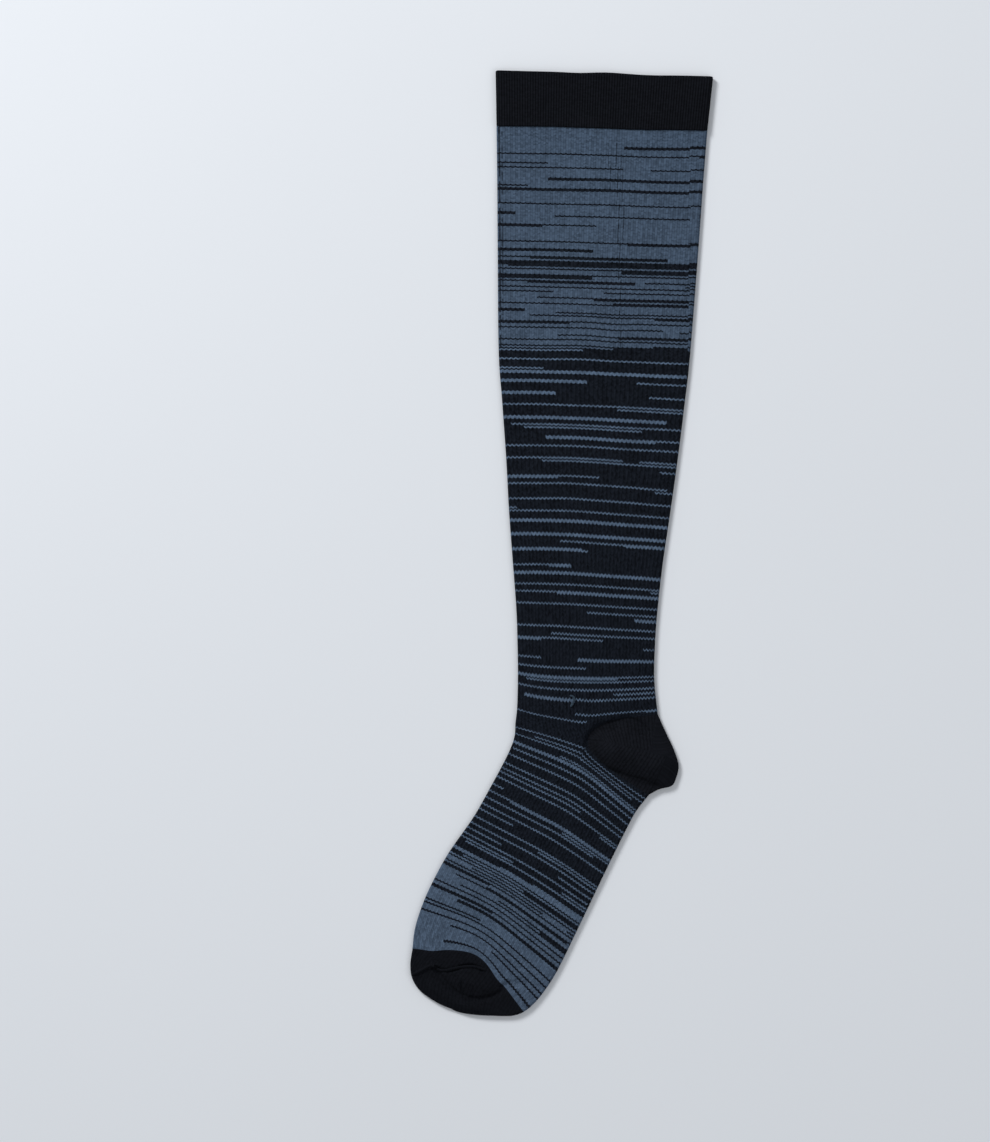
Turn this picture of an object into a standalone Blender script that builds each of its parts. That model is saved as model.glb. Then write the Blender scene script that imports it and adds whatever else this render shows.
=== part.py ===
"""A knee-high compression stocking with a closed toe, laid flat on its side.

The stocking is knitted as one tube, in rounds. Each round lies flat as two layers, which meet in a
fold along the front edge (shin, instep) and a fold along the back edge (calf, heel, sole).
Lengths are in millimetres up to the mesh, which is in metres. +X runs from the front edge to the
back edge of the leg, +Y from the toe to the mouth and +Z up from the surface that it lies on.
"""

from collections import namedtuple
import math

import bmesh
import bpy

MM = 0.001

# Cloth
WALL = 1.2  # one layer of plain knit
WELT_WALL = 1.8  # the turned, double band at the mouth
LAYER_GAP = 0.4  # least space kept between the two layers
SEAM_GAP = 0.3  # left between two pieces that are knitted on to each other

# Mesh
ROW_PITCH = 12.0  # along the tube
FOLD_STEPS = 3  # steps in a quarter turn of a folded edge
FRONT_COLUMNS = 10  # from the front fold to the line of the heel's point
BACK_COLUMNS = 11  # from there to the back fold
LINE_POINTS = 12  # points that hold the shape of half a round

HEEL_SHARE = 0.46  # share of a flat round that lies in front of the heel's point
ROUND_SKEW = 0.35  # a round's bow is highest a little in front of its middle
HEEL_SKEW = 0.60  # the heel's rounds rise steeply from its point
FOLD_FADE = 3.0  # a crease runs out this far from a folded edge

# Rounds of the tube, from the mouth to the toe. x, y: middle of the flat round. width: across the
# flat tube. tilt: degrees from +X, front to back. bow: how far its middle rises from the straight
# line between its folds. edge: thickness at the folds. loft: what the middle of it adds.
Round = namedtuple("Round", "name x y width tilt bow edge loft")
TUBE = (
    Round("mouth", 24.3, 267.6, 124.0, -1.6, 0.0, 3.2, 0.4),
    Round("welt_end", 22.9, 236.1, 120.1, -1.2, 0.0, 3.2, 0.7),
    Round("below_knee", 21.9, 206.0, 117.3, -1.3, 0.0, 3.2, 0.9),
    Round("calf", 20.7, 169.0, 114.4, -1.4, 0.0, 3.2, 1.2),
    Round("low_calf", 18.6, 108.8, 109.1, -1.5, 0.0, 3.2, 1.2),
    Round("shin", 17.9, 78.3, 103.6, -1.9, 0.6, 3.2, 1.1),
    Round("mid_shin", 17.0, 46.7, 97.4, -2.3, 1.1, 3.2, 1.0),
    Round("low_shin", 15.7, 17.0, 91.6, -2.5, 1.4, 3.2, 1.0),
    Round("above_ankle", 14.7, -10.3, 85.6, -2.7, 1.1, 3.2, 1.1),
    Round("ankle", 14.2, -38.8, 80.3, -2.8, 0.3, 3.2, 1.3),
    Round("low_ankle", 13.9, -60.2, 78.2, -2.5, -0.6, 3.2, 1.5),
    Round("above_heel", 13.9, -77.3, 77.8, -1.7, -2.3, 3.2, 1.7),
    Round("heel_top", 14.6, -94.4, 80.0, -2.4, -5.1, 3.2, 1.9),
)
FOOT = (
    Round("heel_end", 9.4, -127.2, 82.9, -30.1, 7.4, 3.2, 1.8),
    Round("arch", 3.5, -141.1, 79.3, -29.3, 7.4, 3.2, 1.5),
    Round("mid_foot", -5.8, -158.5, 80.2, -29.4, 7.1, 3.2, 1.2),
    Round("instep", -16.5, -178.5, 81.4, -27.5, 7.1, 3.2, 1.1),
    Round("ball", -29.7, -201.6, 85.8, -29.5, 8.0, 3.2, 1.1),
    Round("fore_foot", -40.1, -222.6, 86.0, -29.4, 8.8, 3.2, 1.1),
    Round("low_foot", -47.6, -237.9, 82.0, -29.3, 10.3, 3.2, 1.2),
    Round("toe_start", -53.3, -248.7, 73.0, -29.7, 13.1, 3.2, 1.3),
)
TOE = (
    Round("toe_1", -56.7, -254.3, 65.9, -26.3, 12.0, 3.2, 1.3),
    Round("toe_2", -59.1, -258.2, 57.0, -22.8, 9.7, 3.2, 1.2),
    Round("toe_3", -60.0, -261.5, 45.6, -19.4, 7.1, 3.2, 0.9),
    Round("toe_4", -59.6, -264.0, 32.3, -17.7, 4.3, 3.0, 0.5),
    Round("toe_5", -59.2, -265.7, 19.3, -16.8, 2.0, 2.4, 0.2),
    Round("tip", -59.1, -266.4, 8.5, -19.7, 0.6, 0.8, 0.0),
)
LAST_HOLLOW = "toe_4"  # the hollow inside the toe ends at this round

# The heel is a pouch, knitted to and fro from the point where it starts, on each side of the foot.
HEEL_POINT = (15.0, -113.8)
HEEL_TRIM = 1.0  # its rows start this far from the point
SPLIT_FRONT = (-26.0, -99.5)  # where the round through the heel's point meets the front fold
SPLIT_BOW = 2.0
HeelRow = namedtuple("HeelRow", "name x y bow loft")
HEEL = (
    HeelRow("leg_side", 54.9, -97.5, 7.6, 1.9),
    HeelRow("upper", 56.5, -101.5, 6.4, 2.0),
    HeelRow("back_1", 60.2, -109.5, 4.6, 2.2),
    HeelRow("back_2", 63.9, -117.5, 2.8, 2.3),
    HeelRow("rear", 66.6, -126.5, 1.0, 2.3),
    HeelRow("under_1", 64.9, -134.5, -0.6, 2.2),
    HeelRow("corner", 62.4, -138.2, -1.6, 2.1),
    HeelRow("under_2", 55.4, -140.1, -2.4, 2.0),
    HeelRow("foot_side", 49.8, -143.1, -3.2, 1.9),
)

# Creases and swells of the upper layer, each along a curve from its start past a middle point to
# its end. half_width: from its line to where it has nearly gone. height: up, or down if negative.
Fold = namedtuple("Fold", "name start middle end half_width height")
FOLDS = (
    Fold("toe_seam_ridge", (-86.5, -246.0), (-80.7, -243.2), (-73.0, -239.4), 1.9, 1.0),
    Fold("toe_seam_front", (-73.0, -240.6), (-66.0, -245.0), (-58.0, -240.6), 2.4, -1.3),
    Fold("toe_seam_back", (-58.0, -240.6), (-51.0, -237.4), (-43.7, -242.0), 2.2, -1.1),
    Fold("toe_cup_front", (-65.5, -248.5), (-63.5, -259.5), (-52.0, -260.8), 3.2, -1.5),
    Fold("toe_cup_back", (-52.0, -260.8), (-39.5, -261.6), (-32.4, -253.5), 3.2, -1.3),
    Fold("toe_swell", (-57.0, -248.5), (-51.0, -251.0), (-44.0, -252.0), 9.0, 1.5),
    Fold("toe_rim", (-74.0, -254.5), (-62.0, -265.5), (-46.0, -266.5), 5.0, 0.6),
    Fold("low_foot_crease", (-34.0, -251.5), (-29.0, -249.5), (-23.0, -250.6), 2.4, -0.7),
    Fold("heel_top_front", (15.6, -113.5), (17.0, -103.5), (28.7, -104.1), 4.4, -1.7),
    Fold("heel_top_back", (28.7, -104.1), (36.7, -98.5), (45.3, -105.8), 5.0, -1.5),
    Fold("heel_low_front", (16.5, -116.6), (20.5, -129.5), (32.1, -132.0), 4.4, -2.0),
    Fold("heel_low_back", (32.1, -132.0), (41.3, -135.5), (51.0, -139.0), 4.4, -1.6),
    Fold("heel_pouch", (33.0, -117.0), (44.0, -121.0), (53.0, -126.5), 17.0, 4.6),
    Fold("instep_swell", (-12.0, -84.0), (-11.0, -110.0), (-14.0, -138.0), 19.0, 0.8),
    Fold("calf_swell", (24.0, 188.0), (30.0, 150.0), (22.0, 96.0), 34.0, 0.7),
    Fold("shin_trough", (-6.0, 70.0), (2.0, 32.0), (0.0, -20.0), 15.0, -0.5),
    Fold("ankle_swell", (22.0, -14.0), (24.0, -40.0), (20.0, -66.0), 20.0, 0.6),
    Fold("foot_swell", (8.0, -160.0), (-8.0, -190.0), (-26.0, -222.0), 18.0, 0.6),
)
FOLD_POINTS = 10  # points taken along each of these curves

# Colour, roughness of each piece's yarn
YARN = {
    "welt": ((0.0060, 0.0067, 0.0095), 0.85),
    "leg": ((0.0330, 0.0500, 0.0770), 0.88),
    "heel": ((0.0055, 0.0063, 0.0090), 0.85),
    "foot": ((0.0090, 0.0115, 0.0160), 0.88),
    "toe": ((0.0055, 0.0063, 0.0090), 0.85),
}


def mix(a, b, share):
    """The point or number at this share of the way from a to b."""
    if isinstance(a, tuple):
        return tuple(mix(p, q, share) for p, q in zip(a, b))
    return a + (b - a) * share


def bowed(start, end, bow, shape, points):
    """A plan curve from start to end, raised by bow at right angles to the line between them."""
    length = math.dist(start, end)
    across = ((start[1] - end[1]) / length, (end[0] - start[0]) / length)
    curve = []
    for i in range(points + 1):
        t = i / points
        x, y = mix(start, end, t)
        rise = bow * shape(t)
        curve.append((x + across[0] * rise, y + across[1] * rise))
    return curve


def round_shape(t):
    return 4 * t * (1 - t) * (1 + ROUND_SKEW * (1 - 2 * t))


def heel_shape(t):
    return 0.88 * math.sqrt(4 * t * (1 - t)) * (1 + HEEL_SKEW * (1 - 2 * t))


def round_line(row):
    """The plan of one flat round, with the point at HEEL_SHARE at index LINE_POINTS."""
    tilt = math.radians(row.tilt)
    along = (math.cos(tilt) * row.width, math.sin(tilt) * row.width)
    line = []
    for i in range(2 * LINE_POINTS + 1):
        if i < LINE_POINTS:
            t = HEEL_SHARE * i / LINE_POINTS
        else:
            t = HEEL_SHARE + (1 - HEEL_SHARE) * (i / LINE_POINTS - 1)
        rise = row.bow * round_shape(t) / row.width
        x = row.x + along[0] * (t - 0.5) - along[1] * rise
        y = row.y + along[1] * (t - 0.5) + along[0] * rise
        line.append((x, y))
    return line


def heel_line(row):
    return bowed(HEEL_POINT, (row.x, row.y), row.bow, heel_shape, LINE_POINTS)


def split_line(heel_row):
    """The round through the heel's point, which runs on along one side of the heel."""
    front = bowed(SPLIT_FRONT, HEEL_POINT, SPLIT_BOW, round_shape, LINE_POINTS)
    return front[:-1] + heel_line(heel_row)


def catmull(a, b, c, d, t):
    """The cubic through b and c, a share t of the way between them."""
    if isinstance(a, tuple):
        return tuple(catmull(*four, t) for four in zip(a, b, c, d))
    slope_b = (c - a) / 2
    slope_c = (d - b) / 2
    rise = c - b
    return b + t * (slope_b + t * (3 * rise - 2 * slope_b - slope_c + t * (slope_b + slope_c - 2 * rise)))


def refined(rows):
    """Adds rows between the given ones, where they are far apart. A row is (line, edge, loft)."""
    dense = []
    for i in range(len(rows) - 1):
        four = [rows[min(max(k, 0), len(rows) - 1)] for k in (i - 1, i, i + 1, i + 2)]
        middle = len(rows[i][0]) // 2
        steps = max(1, round(math.dist(rows[i][0][middle], rows[i + 1][0][middle]) / ROW_PITCH))
        for step in range(steps):
            t = step / steps
            line = [catmull(*points, t) for points in zip(*(row[0] for row in four))]
            dense.append((line, catmull(*(row[1] for row in four), t), catmull(*(row[2] for row in four), t)))
    dense.append(rows[-1])
    return dense


def pulled_in(row, neighbour):
    """The row moved by half a seam gap towards its neighbour."""
    line = row[0]
    moved = []
    for i, (x, y) in enumerate(line):
        before = line[max(i - 1, 0)]
        after = line[min(i + 1, len(line) - 1)]
        length = math.dist(before, after)
        normal = ((before[1] - after[1]) / length, (after[0] - before[0]) / length)
        other = neighbour[0][i]
        side = normal[0] * (other[0] - x) + normal[1] * (other[1] - y)
        step = math.copysign(SEAM_GAP / 2, side)
        moved.append((x + normal[0] * step, y + normal[1] * step))
    return (moved, row[1], row[2])


def fold_curve(fold):
    curve = []
    for i in range(FOLD_POINTS + 1):
        t = i / FOLD_POINTS
        curve.append(mix(mix(fold.start, fold.middle, t), mix(fold.middle, fold.end, t), t))
    return curve


FOLD_CURVES = [(fold, fold_curve(fold)) for fold in FOLDS]


def relief(point):
    """How far the creases and swells raise the upper layer at a point of the plan."""
    total = 0.0
    for fold, curve in FOLD_CURVES:
        if math.dist(point, fold.middle) > 2 * fold.half_width + math.dist(fold.start, fold.end):
            continue
        nearest = min(to_stretch(point, a, b) for a, b in zip(curve, curve[1:]))
        total += fold.height * math.exp(-4 * (nearest / fold.half_width) ** 2)
    return total


def to_stretch(point, a, b):
    """Distance from a point to the straight stretch between a and b."""
    length = math.dist(a, b)
    share = ((point[0] - a[0]) * (b[0] - a[0]) + (point[1] - a[1]) * (b[1] - a[1])) / length**2
    return math.dist(point, mix(a, b, min(max(share, 0.0), 1.0)))


def along(line, distance):
    """The point at this distance along a line of points."""
    for a, b in zip(line, line[1:]):
        length = math.dist(a, b)
        if distance <= length or b is line[-1]:
            return mix(a, b, distance / length)
        distance -= length


def line_length(line):
    return sum(math.dist(a, b) for a, b in zip(line, line[1:]))


def section(row, wall, inset, from_heel_point):
    """One ring of the flat tube: the upper layer from front to back, then the lower one to the front.

    inset is 0 for the outer face and the wall's thickness for the inner one. A heel row starts at
    the heel's point, where it has no fold.
    """
    line, edge, loft = row
    edge += 2 * (wall - WALL)
    lift = max(0.0, (2 * WALL + LAYER_GAP - edge) / 2)
    radius = edge / 2 - inset
    total = line_length(line)
    back_starts = 0.0 if from_heel_point else line_length(line[: LINE_POINTS + 1])
    turn = [math.pi / 2 * step / FOLD_STEPS for step in range(FOLD_STEPS)]

    stops = []  # distance along the round, and the sine of the fold's turn
    if not from_heel_point:
        first = edge / 2
        stops += [(inset + radius * (1 - math.cos(a)), math.sin(a)) for a in turn]
        stops += [(mix(first, back_starts, k / FRONT_COLUMNS), None) for k in range(FRONT_COLUMNS)]
    last = total - edge / 2
    stops += [(mix(back_starts, last, k / BACK_COLUMNS), None) for k in range(BACK_COLUMNS + 1)]
    if from_heel_point:
        stops[0] = (HEEL_TRIM, None)
    stops += [(total - inset - radius * (1 - math.cos(a)), math.sin(a)) for a in reversed(turn)]

    upper = []
    lower = []
    for distance, sine in stops:
        x, y = along(line, distance)
        if sine is None:
            flat_share = (distance - edge / 2) / (total - edge)
            if from_heel_point:
                flat_share = HEEL_SHARE + (1 - HEEL_SHARE) * distance / last
            dome = math.sin(math.pi * min(max(flat_share, 0.0), 1.0)) ** 0.7
            from_fold = last - distance
            if not from_heel_point:
                from_fold = min(from_fold, distance - edge / 2)
            creases = relief((x, y)) * min(1.0, from_fold / FOLD_FADE)
            height = edge + loft * dome + creases
            if lift == 0.0:
                height = max(height, 2 * wall + LAYER_GAP)
            upper.append((x, y, lift + height - inset))
            lower.append((x, y, lift + inset))
        else:
            upper.append((x, y, lift + edge / 2 + radius * sine))
            if sine > 0.0:
                lower.append((x, y, lift + edge / 2 - radius * sine))
    return upper + lower[::-1]


def knit_piece(name, rows, wall, closed_ring=True, hollow_rows=None):
    """One piece of the tube as a closed body: an outer and an inner face, joined round the rims.

    hollow_rows is how many rows the inner face has, where it ends before the outer one.
    """
    body = bmesh.new()
    outer = [vertices(body, section(row, wall, 0.0, not closed_ring)) for row in rows]
    inner_rows = rows[:hollow_rows] if hollow_rows else rows
    inner = [vertices(body, section(row, wall, wall, not closed_ring)) for row in inner_rows]
    skin(body, outer, closed_ring)
    skin(body, inner, closed_ring)
    skin(body, [outer[0], inner[0]], closed_ring)
    if hollow_rows:
        close_tip(body, outer[-1])
        close_tip(body, inner[-1])
    else:
        skin(body, [outer[-1], inner[-1]], closed_ring)
    if not closed_ring:
        for k in (0, -1):
            skin(body, [[ring[k] for ring in outer], [ring[k] for ring in inner]], False)
    bmesh.ops.recalc_face_normals(body, faces=body.faces)
    mesh = bpy.data.meshes.new(name)
    body.to_mesh(mesh)
    body.free()
    mesh.shade_smooth()
    mesh.set_sharp_from_angle(angle=math.radians(50))
    piece = bpy.data.objects.new(name, mesh)
    bpy.context.collection.objects.link(piece)
    mesh.materials.append(yarn(name))
    return piece


def vertices(body, points):
    return [body.verts.new((x * MM, y * MM, z * MM)) for x, y, z in points]


def skin(body, rings, closed_ring):
    """Four-sided faces between each ring and the next."""
    count = len(rings[0])
    for a, b in zip(rings, rings[1:]):
        for k in range(count if closed_ring else count - 1):
            body.faces.new((a[k], a[(k + 1) % count], b[(k + 1) % count], b[k]))


def close_tip(body, ring):
    """Strips across a flat ring, from each point of its upper layer to the one below it."""
    count = len(ring)
    half = count // 2
    for k in range(half):
        corners = [ring[k], ring[k + 1], ring[(count - k - 1) % count], ring[(count - k) % count]]
        body.faces.new(list(dict.fromkeys(corners)))


def yarn(name):
    colour, roughness = YARN[name]
    material = bpy.data.materials.new(name)
    material.use_nodes = True
    shader = material.node_tree.nodes["Principled BSDF"]
    shader.inputs["Base Color"].default_value = (*colour, 1.0)
    shader.inputs["Roughness"].default_value = roughness
    shader.inputs["Metallic"].default_value = 0.0
    return material


def main():
    for thing in list(bpy.data.objects):
        bpy.data.objects.remove(thing, do_unlink=True)

    tube = [(round_line(row), row.edge, row.loft) for row in TUBE]
    leg_end = (split_line(HEEL[0]), TUBE[-1].edge, HEEL[0].loft)
    foot_start = (split_line(HEEL[-1]), FOOT[0].edge, HEEL[-1].loft)
    foot = [(round_line(row), row.edge, row.loft) for row in FOOT]
    toe = [(round_line(row), row.edge, row.loft) for row in TOE]
    heel = [(heel_line(row), TUBE[-1].edge, row.loft) for row in HEEL]

    welt_rows = refined(tube)[: len(refined(tube[:2]))]
    leg_rows = refined(tube + [leg_end])[len(welt_rows) - 1 :]
    lower = refined([foot_start] + foot + toe)
    foot_count = len(lower) - len(toe)
    foot_rows = lower[:foot_count]
    toe_rows = lower[foot_count - 1 :]

    for rows in (welt_rows, leg_rows, foot_rows, heel):
        rows[-1] = pulled_in(rows[-1], rows[-2])
    for rows in (leg_rows, foot_rows, heel, toe_rows):
        rows[0] = pulled_in(rows[0], rows[1])

    hollow = [row.name for row in TOE].index(LAST_HOLLOW) + 2
    knit_piece("welt", welt_rows, WELT_WALL)
    knit_piece("leg", leg_rows, WALL)
    knit_piece("heel", heel, WALL, closed_ring=False)
    knit_piece("foot", foot_rows, WALL)
    knit_piece("toe", toe_rows, WALL, hollow_rows=hollow)


main()
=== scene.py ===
import math
from types import SimpleNamespace

import bmesh
import bpy
from mathutils import Matrix, Vector
import numpy as np


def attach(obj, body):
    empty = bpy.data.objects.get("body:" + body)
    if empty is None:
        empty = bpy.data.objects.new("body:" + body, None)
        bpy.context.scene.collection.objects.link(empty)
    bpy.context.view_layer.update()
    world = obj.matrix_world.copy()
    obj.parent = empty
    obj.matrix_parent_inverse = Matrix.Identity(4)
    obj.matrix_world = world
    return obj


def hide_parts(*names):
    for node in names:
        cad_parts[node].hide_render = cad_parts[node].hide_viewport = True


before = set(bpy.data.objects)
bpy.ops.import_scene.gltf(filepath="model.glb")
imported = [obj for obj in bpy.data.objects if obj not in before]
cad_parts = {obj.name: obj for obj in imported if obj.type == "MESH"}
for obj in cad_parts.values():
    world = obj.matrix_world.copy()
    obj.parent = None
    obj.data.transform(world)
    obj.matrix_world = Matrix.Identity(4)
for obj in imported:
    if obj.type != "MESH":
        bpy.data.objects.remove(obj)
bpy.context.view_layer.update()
mm = 0.001
print("frame: the solids are in")

# The flat tube. Its form repeats the solids' own: lengths in millimetres, x from front to back of
# the leg, y from toe to mouth, z up from the surface that it lies on.
tube = {
    "wall": 1.2,
    "weltWall": 1.8,
    "layerGap": 0.4,  # least space between the two layers
    "edge": 3.2,  # thickness at the folds
    "heelPoint": (15.0, -113.8),  # where the heel's rows start
    "heelShare": 0.46,  # share of a flat round in front of the heel's point
    "splitFront": (-26.4, -102.4),  # the front end of the round through the heel's point
    "splitBow": 0.6,
    "heelSkew": 0.60,
    "heelRise": 0.88,
    "domePower": 0.7,  # how square the loft is
    "foldFade": 3.0,  # a crease runs out this far from a fold
    "heelBlend": 12.0,  # the heel's rows reach their own loft this far from its point
    "linePoints": 24,  # points along half of a round
}

# name: (x and y of the middle of the flat round, width, tilt in degrees, bow, edge, loft, skew of
# the bow to the front, share of the round at which it turns a corner)
legRounds = {
    "mouth": (24.3, 267.6, 124.0, -1.6, 0.0, 4.4, 0.4, 0.35),
    "weltEnd": (22.9, 236.1, 120.1, -1.2, 0.0, 4.4, 0.7, 0.35),
    "legStart": (22.9, 236.1, 120.1, -1.2, 0.0, 3.2, 0.7, 0.35),
    "belowKnee": (21.9, 206.0, 117.3, -1.3, 0.0, 3.2, 0.9, 0.35),
    "calf": (20.7, 169.0, 114.4, -1.4, 0.0, 3.2, 1.2, 0.35),
    "lowCalf": (18.6, 108.8, 109.1, -1.5, 0.0, 3.2, 1.2, 0.35),
    "shin": (17.9, 78.3, 103.6, -1.9, 0.6, 3.2, 1.1, 0.35),
    "midShin": (17.0, 46.7, 97.4, -2.3, 1.1, 3.2, 1.0, 0.35),
    "lowShin": (15.7, 17.0, 91.6, -2.5, 1.4, 3.2, 1.0, 0.35),
    "aboveAnkle": (14.7, -10.3, 85.6, -2.7, 1.1, 3.2, 1.1, 0.35),
    "ankle": (14.2, -38.8, 80.3, -2.8, 0.3, 3.2, 1.3, 0.35),
    "lowAnkle": (13.9, -60.2, 78.2, -2.5, -0.6, 3.2, 1.5, 0.35),
    "aboveHeel": (13.9, -77.3, 77.8, -1.7, -2.3, 3.2, 1.7, 0.35),
    "heelTop": (14.6, -94.4, 80.0, -2.4, -4.2, 3.2, 1.9, 0.35),
}
footRounds = {
    "heelEnd": (7.9, -131.2, 81.2, -30.6, 6.4, 3.2, 1.8, 0, 0.47),
    "arch": (3.4, -140.8, 79.7, -30.9, 5.0, 3.2, 1.5, 0, 0.53),
    "midFoot": (-5.0, -157.1, 80.0, -30.2, 3.0, 3.2, 1.2, 0, 0.56),
    "instep": (-15.0, -176.2, 81.4, -30.2, 2.2, 3.2, 1.1, 0, 0.54),
    "ball": (-28.0, -198.6, 85.5, -31.0, 2.9, 3.2, 1.1, 0, 0.43),
    "foreFoot": (-38.2, -218.5, 86.6, -32.4, 6.4, 3.2, 1.1, 0, 0.41),
    "lowFoot": (-44.6, -231.0, 84.5, -32.3, 9.6, 3.2, 1.2, 0, 0.42),
    "nearToe": (-49.7, -241.1, 79.9, -31.3, 13.6, 3.2, 1.2, 0, 0.42),
    "toeStart": (-53.3, -248.7, 73.0, -29.7, 17.6, 3.2, 1.3, 0, 0.45),
    "toe1": (-56.7, -254.3, 65.9, -26.3, 11.6, 3.2, 1.3, 0.2),
    "toe2": (-59.1, -258.2, 57.0, -22.8, 9.7, 3.2, 1.2, 0.3),
    "toe3": (-60.0, -261.5, 45.6, -19.4, 7.1, 3.2, 0.9, 0.35),
    "toe4": (-59.6, -264.0, 32.3, -17.7, 4.3, 3.0, 0.5, 0.35),
    "toe5": (-59.2, -265.7, 19.3, -16.8, 1.6, 2.4, 0.2, 0.35),
    "tip": (-59.1, -266.4, 8.5, -19.7, -0.45, 0.8, 0.0, 0.35),
}
# the heel's rows, from its point to the back fold. name: (x and y at the fold, bow, loft)
heelRows = {
    "legSide": (54.9, -97.5, 7.6, 1.9),
    "upper": (56.5, -101.5, 6.4, 2.0),
    "back1": (60.2, -109.5, 4.6, 2.2),
    "back2": (63.9, -117.5, 2.8, 2.3),
    "rear": (66.6, -126.5, 1.0, 2.3),
    "under1": (64.9, -134.5, -0.6, 2.2),
    "corner": (62.4, -138.2, -1.6, 2.1),
    "under2": (55.4, -140.1, -2.4, 2.0),
    "footSide": (49.8, -143.1, -3.2, 1.9),
}
# creases and swells of the upper layer. name: (start, middle, end, half width, height)
folds = {
    "toeSeamRidge": ((-86.5, -246.0), (-80.7, -243.2), (-73.0, -239.4), 1.9, 1.0),
    "toeSeamFront": ((-73.0, -241.2), (-66.0, -245.2), (-58.0, -241.2), 1.9, -1.9),
    "toeSeamBack": ((-58.0, -241.2), (-51.0, -238.4), (-45.7, -242.6), 1.8, -1.7),
    "toeSeamKnot": ((-75.6, -238.2), (-73.4, -239.6), (-70.0, -240.0), 1.6, 0.8),
    "toeCupFront": ((-71.6, -242.4), (-62.4, -257.8), (-52.0, -259.4), 2.5, -2.3),
    "toeCupBack": ((-52.0, -259.4), (-41.0, -260.4), (-32.4, -253.0), 2.6, -2.0),
    "toeCupFold": ((-56.8, -249.6), (-57.6, -253.4), (-54.6, -257.6), 1.5, -0.9),
    "toeCupNick": ((-51.6, -251.5), (-49.8, -254.0), (-50.4, -257.8), 1.5, -0.6),
    "toeSwell": ((-57.0, -248.5), (-51.0, -251.0), (-44.0, -252.0), 9.0, 1.5),
    "toeRim": ((-74.0, -252.5), (-63.0, -263.5), (-46.0, -265.0), 4.4, 0.9),
    "lowFootCrease": ((-34.0, -251.5), (-27.0, -248.5), (-17.5, -250.8), 2.4, -1.5),
    "heelTopFront": ((15.8, -112.5), (17.4, -103.2), (29.0, -103.8), 5.0, -3.4),
    "heelTopBack": ((29.0, -103.8), (38.0, -97.6), (47.0, -106.6), 5.2, -3.0),
    "heelLowFront": ((16.0, -116.4), (20.4, -129.4), (32.1, -132.6), 5.4, -4.3),
    "heelLowBack": ((32.1, -132.6), (42.0, -135.5), (52.4, -139.0), 5.0, -4.0),
    "heelPouch": ((32.0, -117.0), (44.0, -121.0), (52.0, -126.5), 18.5, 5.1),
    "instepSwell": ((-12.0, -84.0), (-11.0, -110.0), (-14.0, -138.0), 19.0, 0.8),
    "calfSwell": ((24.0, 188.0), (30.0, 150.0), (22.0, 96.0), 34.0, 0.7),
    "shinTrough": ((-6.0, 70.0), (2.0, 32.0), (0.0, -20.0), 15.0, -0.5),
    "ankleSwell": ((22.0, -14.0), (24.0, -40.0), (20.0, -66.0), 20.0, 0.6),
    "footSwell": ((8.0, -160.0), (-8.0, -190.0), (-26.0, -222.0), 18.0, 0.6),
}
# small shifts of the cloth in its own plane, so that no course runs dead straight.
# (x, y, reach, step along y)
drifts = (
    (26.0, 268.0, 11.0, 0.45),
    (9.0, 268.0, 9.0, -0.30),
    (52.0, 268.0, 14.0, -0.40),
    (-8.0, 236.0, 20.0, 0.35),
    (44.0, 232.0, 16.0, -0.35),
    (30.0, 122.0, 9.0, -0.50),
    (10.0, 112.0, 15.0, 0.40),
    (-14.0, 84.0, 12.0, 0.45),
    (34.0, 60.0, 14.0, -0.40),
    (2.0, 30.0, 12.0, 0.40),
    (26.0, -6.0, 13.0, -0.40),
    (-6.0, -50.0, 12.0, 0.40),
    (-14.0, -150.0, 12.0, -0.35),
    (4.0, -186.0, 12.0, 0.40),
    (-44.0, -214.0, 12.0, -0.40),
    (14.0, -100.0, 11.0, -1.30),
    (-38.0, -247.0, 6.0, -1.60),
    (-74.0, -230.0, 6.0, -1.00),
)

# waves of the upper layer. (radians to a millimetre across and along, phase, height)
waves = (
    (0.11, 0.050, 0.3, 0.14),
    (-0.07, 0.120, 1.9, 0.10),
    (0.19, -0.031, 4.0, 0.07),
    (0.03, 0.210, 2.6, 0.05),
)


def distanceTo(curve, x, y):  # to a chain of plan points, and how far along it the nearest place is
    gap, along, before = np.full(x.shape, 1e9), np.zeros(x.shape), 0.0
    for a, b in zip(curve, curve[1:]):
        run = b - a
        length = math.hypot(*run)
        share = np.clip(((x - a[0]) * run[0] + (y - a[1]) * run[1]) / length**2, 0, 1)
        here = np.hypot(x - a[0] - share * run[0], y - a[1] - share * run[1])
        along = np.where(here < gap, before + share * length, along)
        gap = np.minimum(gap, here)
        before += length
    return gap, along


def foldCurve(start, middle, end, steps=10):
    t = np.linspace(0, 1, steps + 1)[:, None]
    a, b, c = (np.array(p) for p in (start, middle, end))
    return a * (1 - t) ** 2 + b * 2 * t * (1 - t) + c * t**2


def relief(x, y):  # how far the creases and swells raise the upper layer
    total = np.zeros(x.shape)
    for start, middle, end, halfWidth, height in folds.values():
        curve = foldCurve(start, middle, end)
        reach = 1.6 * halfWidth  # past this a fold adds nothing
        low, high = curve.min(0) - reach, curve.max(0) + reach
        near = (x > low[0]) & (x < high[0]) & (y > low[1]) & (y < high[1])
        gap = distanceTo(curve, x[near], y[near])[0]
        total[near] += height * np.exp(-4 * (gap / halfWidth) ** 2)
    return total


def ease(x, y):  # slight unevenness
    return sum(size * np.sin(across * x + along * y + phase) for across, along, phase, size in waves)


def roundShape(t, skew):
    return 4 * t * (1 - t) * (1 + skew * (1 - 2 * t))


def cornerShape(t, corner):
    before, after = t / corner, (1 - t) / (1 - corner)
    return before * after / (before**4 + after**4) ** 0.25


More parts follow.
